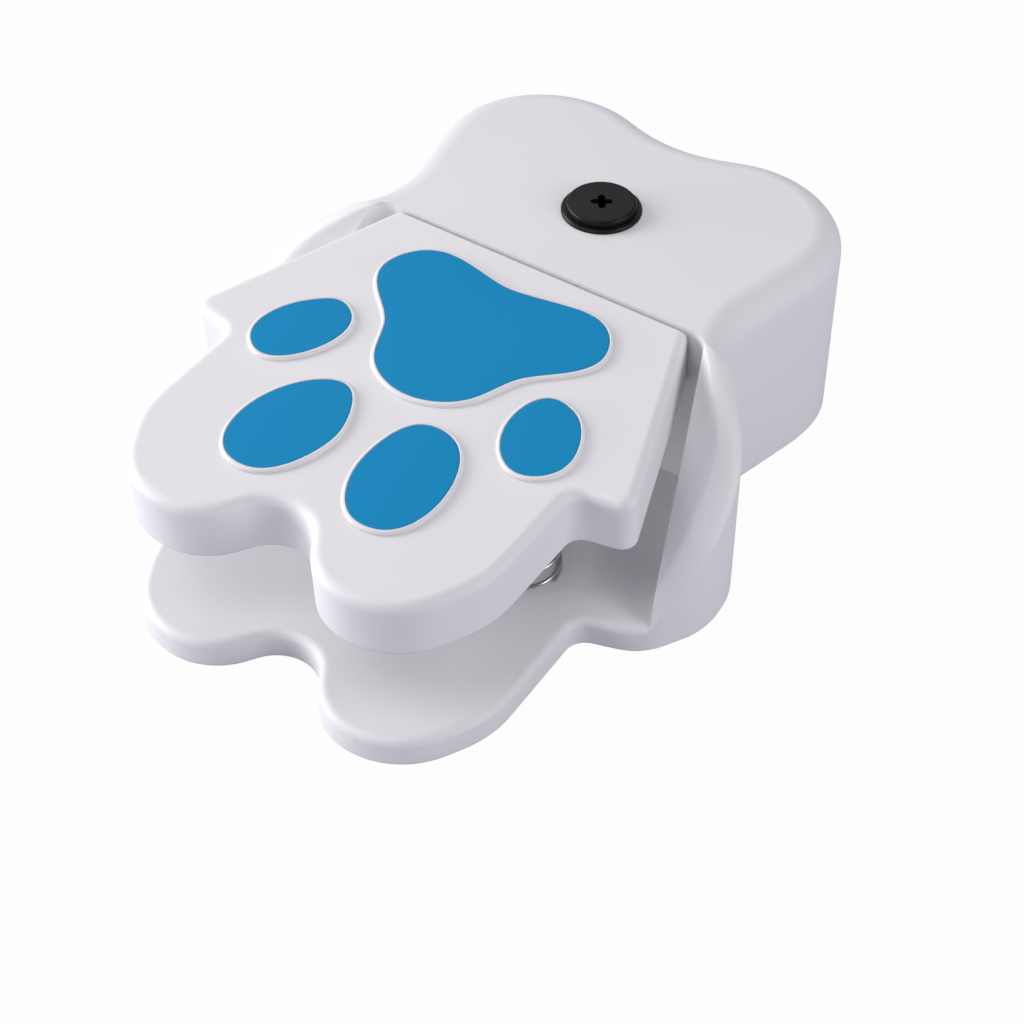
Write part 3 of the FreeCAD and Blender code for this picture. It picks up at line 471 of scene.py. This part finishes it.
THREAD_PITCH = 2.2 * MM
THREAD_DEPTH = 1.15 * MM
THREAD_SLOPE, THREAD_CREST = 2.6, 0.8    # how steep a thread's sides are and how wide its crest is
THREAD_RUN_OUT = 0.6                     # turns over which the thread fades at the mouth
THREAD_SKIN = 0.05 * MM                  # only points this near to the outer radius take the thread
FLANGE_RADIUS, FLANGE_THICKNESS, FLANGE_ROUND = 15.5 * MM, 2.5 * MM, 0.5 * MM
THREAD_LENGTH, THREAD_RADIUS, MOUTH_RADIUS = 10.3 * MM, 13.2 * MM, 9.5 * MM
NECK_RADIUS, SPIGOT_RADIUS, PIPE_BORE = 8.0 * MM, 5.5 * MM, 3.5 * MM
SPIGOT_LENGTH, BARB_PITCH, BARB_HEIGHT = 10.0 * MM, 2.4 * MM, 0.35 * MM
BARBED_SHARE, BARB_RISE = 0.8, 0.85      # share of the spigot with barbs, and of a barb that rises
RIM_CHAMFER, MOUTH_CHAMFER = 0.5 * MM, 0.4 * MM
INLET_CREASE = 30


def make_inlet():
    """Brass inlet: hose thread outside, smooth mouth with a washer's seat, barbed spigot inside."""
    low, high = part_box("inlet_fitting")
    centre = (low + high) / 2
    length = high.y - low.y
    thread_end = length
    thread_start = thread_end - THREAD_LENGTH
    flange_start = thread_start - FLANGE_THICKNESS

    def ripple(radius, height, turn):
        if radius < THREAD_RADIUS - THREAD_SKIN or height <= thread_start:
            return 0
        fade = min(1, (height - thread_start) / THREAD_PITCH,
                   (thread_end - height) / (THREAD_RUN_OUT * THREAD_PITCH))
        phase = (height / THREAD_PITCH - turn / (2 * math.pi)) % 1
        groove = min(1, max(0, THREAD_SLOPE * abs(phase - 0.5) * 2 - THREAD_CREST))
        return -THREAD_DEPTH * max(fade, 0) * groove

    steps = 120
    profile = [(PIPE_BORE, 0)]
    barbs = int(SPIGOT_LENGTH * BARBED_SHARE / BARB_PITCH)
    for barb in range(barbs):
        profile += [(SPIGOT_RADIUS - BARB_HEIGHT, barb * BARB_PITCH),
                    (SPIGOT_RADIUS, (barb + BARB_RISE) * BARB_PITCH)]
    profile += [(SPIGOT_RADIUS - BARB_HEIGHT, barbs * BARB_PITCH),
                (SPIGOT_RADIUS - BARB_HEIGHT, SPIGOT_LENGTH),
                (NECK_RADIUS, SPIGOT_LENGTH), (NECK_RADIUS, flange_start)]
    flange_round_r = FLANGE_RADIUS - FLANGE_ROUND
    profile += rounded_corner(flange_round_r, flange_start + FLANGE_ROUND, FLANGE_ROUND, -90, 0, 4)
    profile += rounded_corner(flange_round_r, thread_start - FLANGE_ROUND, FLANGE_ROUND, 0, 90, 4)
    profile += [(THREAD_RADIUS, thread_start + THREAD_LENGTH * k / steps) for k in range(steps)]
    profile += [(THREAD_RADIUS - RIM_CHAMFER, thread_end), (MOUTH_RADIUS + MOUTH_CHAMFER, thread_end),
                (MOUTH_RADIUS, thread_end - MOUTH_CHAMFER),
                (MOUTH_RADIUS, thread_start - FLANGE_THICKNESS / 2),
                (PIPE_BORE, thread_start - FLANGE_THICKNESS / 2)]
    mesh = turned("inlet_body", profile, steps=144, ripple=ripple)
    mesh.set_sharp_from_angle(angle=math.radians(INLET_CREASE))
    mesh.transform(Matrix.Translation((centre.x, low.y, centre.z)) @ Matrix.Rotation(-math.pi / 2, 4, "X"))
    add_piece("inlet_body", mesh, "brass", "base", "inlet_fitting")


# Soft pads --------------------------------------------------------------------------------

PAD_STEP = 0.7 * MM            # between the points along a pad's rim
PAD_ROUND = 0.3 * MM
PAD_CROWN = 0.25 * MM
PAD_CROWN_REACH = 9 * MM
PAD_GRID = 2.2 * MM
PAD_EDGE_TURNS = (0, 15, 30, 45, 60, 75, 90)     # degrees round the rounded edge
PAD_INNER_RINGS = (0.5 * MM, 1.3 * MM)           # in from the end of the rounded edge
PAD_CREASE = 50


def rim_of(node, across, forward, up):
    """Outline of a pad's flat underside, in order, in the pedal's leaning frame."""
    form = bmesh.new()
    form.from_mesh(frame["nodes"][node].data)
    bmesh.ops.remove_doubles(form, verts=form.verts, dist=CAD_WELD)
    floor = min(vertex.co.dot(up) for vertex in form.verts)
    top = max(vertex.co.dot(up) for vertex in form.verts)
    flat = {face for face in form.faces if all(v.co.dot(up) < floor + 0.01 * MM for v in face.verts)}
    links = {}
    for edge in form.edges:
        if sum(face in flat for face in edge.link_faces) == 1:
            first, second = edge.verts
            links.setdefault(first, []).append(second)
            links.setdefault(second, []).append(first)
    start = next(iter(links))
    order, before, here = [start], None, start
    while True:
        following = next(v for v in links[here] if v is not before)
        if following is start:
            break
        order.append(following)
        before, here = here, following
    rim = np.array([(v.co.dot(across), v.co.dot(forward)) for v in order])
    form.free()
    return rim, floor, top


def even_rim(rim):
    """The same closed outline with evenly spaced points that run anticlockwise."""
    x, y = rim[:, 0], rim[:, 1]
    if (x * np.roll(y, -1) - y * np.roll(x, -1)).sum() < 0:
        rim = rim[::-1]
    closed = np.vstack([rim, rim[:1]])
    run = np.concatenate(([0], np.cumsum(np.linalg.norm(np.diff(closed, axis=0), axis=1))))
    count = int(run[-1] / PAD_STEP)
    spots = np.arange(count) * run[-1] / count
    even = np.stack([np.interp(spots, run, closed[:, k]) for k in (0, 1)], axis=1)
    return (np.roll(even, 1, axis=0) + 2 * even + np.roll(even, -1, axis=0)) / 4


def pad_height(distance):
    """Height over the rim's level at a distance in from the rim: a rounded edge, then a slight crown."""
    inside = min(distance / PAD_ROUND, 1.0)
    edge = PAD_ROUND * (math.sqrt(1 - (1 - inside) ** 2) - 1)
    return edge + PAD_CROWN * (1 - math.exp(-distance / PAD_CROWN_REACH))


def make_pads():
    across, forward = Vector((1, 0, 0)), Vector((0, math.cos(PEDAL_LEAN), math.sin(PEDAL_LEAN)))
    up = across.cross(forward)
    for node in ("main_pad", "inner_toe_pad_right", "inner_toe_pad_left", "outer_toe_pad_right",
                 "outer_toe_pad_left"):
        rim, floor, top = rim_of(node, across, forward, up)
        rim = even_rim(rim)
        ahead = np.roll(rim, -1, axis=0) - np.roll(rim, 1, axis=0)
        inward = np.stack([-ahead[:, 1], ahead[:, 0]], axis=1) / np.linalg.norm(ahead, axis=1)[:, None]
        insets = [PAD_ROUND * (1 - math.cos(math.radians(turn))) for turn in PAD_EDGE_TURNS]
        insets += [PAD_ROUND + further for further in PAD_INNER_RINGS]
        points, faces = [], []
        count = len(rim)

        def place(spot, level):
            return across * spot[0] + forward * spot[1] + up * level

        rings = [(0.0, floor)] + [(inset, top + pad_height(inset)) for inset in insets]
        for inset, level in rings:
            points += [place(spot, level) for spot in rim + inward * inset]
        for ring in range(len(rings) - 1):
            for k in range(count):
                k_next = (k + 1) % count
                faces.append((ring * count + k, ring * count + k_next,
                              (ring + 1) * count + k_next, (ring + 1) * count + k))
        faces.append(tuple(range(count))[::-1])
        edge = rim + inward * insets[-1]
        low, high = edge.min(0), edge.max(0)
        seeds = []
        for row, y in enumerate(np.arange(low[1], high[1], PAD_GRID)):
            for x in np.arange(low[0] + (row % 2) * PAD_GRID / 2, high[0], PAD_GRID):
                gap = np.linalg.norm(edge - (x, y), axis=1)
                near = gap.argmin()
                if gap[near] > PAD_GRID * 0.6 and (np.array((x, y)) - edge[near]) @ inward[near] > 0:
                    seeds.append((x, y, gap[near] + insets[-1]))
        flat = [Vector(spot) for spot in edge] + [Vector(seed[:2]) for seed in seeds]
        loop = [(k, (k + 1) % count) for k in range(count)]
        cover = delaunay_2d_cdt(flat, loop, [], 1, 1e-7)
        first = len(points)
        reach = [insets[-1]] * count + [seed[2] for seed in seeds]
        points += [place(spot, top + pad_height(reach[source[0]]))
                   for spot, source in zip(cover[0], cover[3])]
        faces += [tuple(first + k for k in face) for face in cover[2]]
        mesh = new_mesh(node + "_inlay", points, faces, crease=PAD_CREASE)
        add_piece(node + "_inlay", mesh, "blue_tpe", "pedal", node)


def dress_cad():
    slots = {row["node"]: row["material_slot"] for row in frame["record"]["subparts"]}
    for name, body in frame["nodes"].items():
        body.data.materials.clear()
        body.data.materials.append(FINISHES[slots[name]])


FLOOR_REACH = 6.0
FLOOR_DROP = 0.2 * MM          # keeps the floor clear of the feet's undersides
FLOOR_WHITE = 0.97             # share of white in what the camera sees of the floor


def make_stage():
    """Plain pale floor. The camera sees it almost white, with the object's shadow left on it."""
    mesh = bpy.data.meshes.new("floor")
    reach = FLOOR_REACH
    corners = [(-reach, -reach, 0), (reach, -reach, 0), (reach, reach, 0), (-reach, reach, 0)]
    mesh.from_pydata(corners, [], [(0, 1, 2, 3)])
    floor = bpy.data.objects.new("floor", mesh)
    bpy.context.scene.collection.objects.link(floor)
    floor.location.z = -FLOOR_DROP
    paint, tree, shader, _ = new_material("studio_floor", "D3D0DE", 0.9)
    white = add_node(tree, "Emission", {"Color": linear("FFFFFF"), "Strength": 1.0})
    ray = add_node(tree, "LightPath")
    share = add_node(tree, "Math", {"operation": "MULTIPLY", 1: FLOOR_WHITE},
                     {0: ray.outputs["Is Camera Ray"]})
    mix = add_node(tree, "MixShader", {}, {0: share.outputs[0], 1: shader.outputs[0], 2: white.outputs[0]})
    tree.links.new(mix.outputs[0], tree.nodes["Material Output"].inputs["Surface"])
    mesh.materials.append(paint)


def area_lamp(name, place, aim, size, power, colour):
    data = bpy.data.lights.new(name, "AREA")
    data.shape, data.size, data.energy, data.color = "DISK", size, power, linear(colour)[:3]
    lamp = bpy.data.objects.new(name, data)
    bpy.context.scene.collection.objects.link(lamp)
    lamp.location = place
    lamp.rotation_mode = "QUATERNION"
    lamp.rotation_quaternion = (Vector(aim) - Vector(place)).to_track_quat("-Z", "Y")


SKY_COLOUR, SKY_STRENGTH = "ECE9FF", 0.26
LAMP_COLOUR = "FFFEFB"
# Name, place in metres, diameter in metres and power in watts of each soft lamp
LAMPS = (
    ("left", (-1.6, -0.3, 0.8), 0.9, 16.0),
    ("left_low", (-1.4, -1.0, 0.35), 0.8, 16.4),
    ("over_front", (-0.1, -0.9, 1.7), 0.9, 6.4),
    ("right", (1.6, 0.1, 0.6), 0.9, 7.4),
    ("right_high", (1.2, 0.3, 1.4), 0.9, 4.9),
    ("behind", (-0.9, 0.9, 1.2), 1.0, 3.0))


def make_light():
    """Soft studio light: a faintly violet pale sky and large lamps, the strongest from the left."""
    scene = bpy.context.scene
    world = bpy.data.worlds.new("studio")
    scene.world = world
    world.use_nodes = True
    tree = world.node_tree
    tree.nodes["Background"].inputs["Color"].default_value = linear(SKY_COLOUR)
    tree.nodes["Background"].inputs["Strength"].default_value = SKY_STRENGTH
    for name, place, size, power in LAMPS:
        area_lamp(name, place, (0, 0, 0), size, power, LAMP_COLOUR)
    scene.view_settings.view_transform = "Standard"


make_camera()
dress_cad()
make_pads()
make_springs()
make_screws()
make_feet()
make_soft_rings()
make_inlet()
make_stage()
make_light()
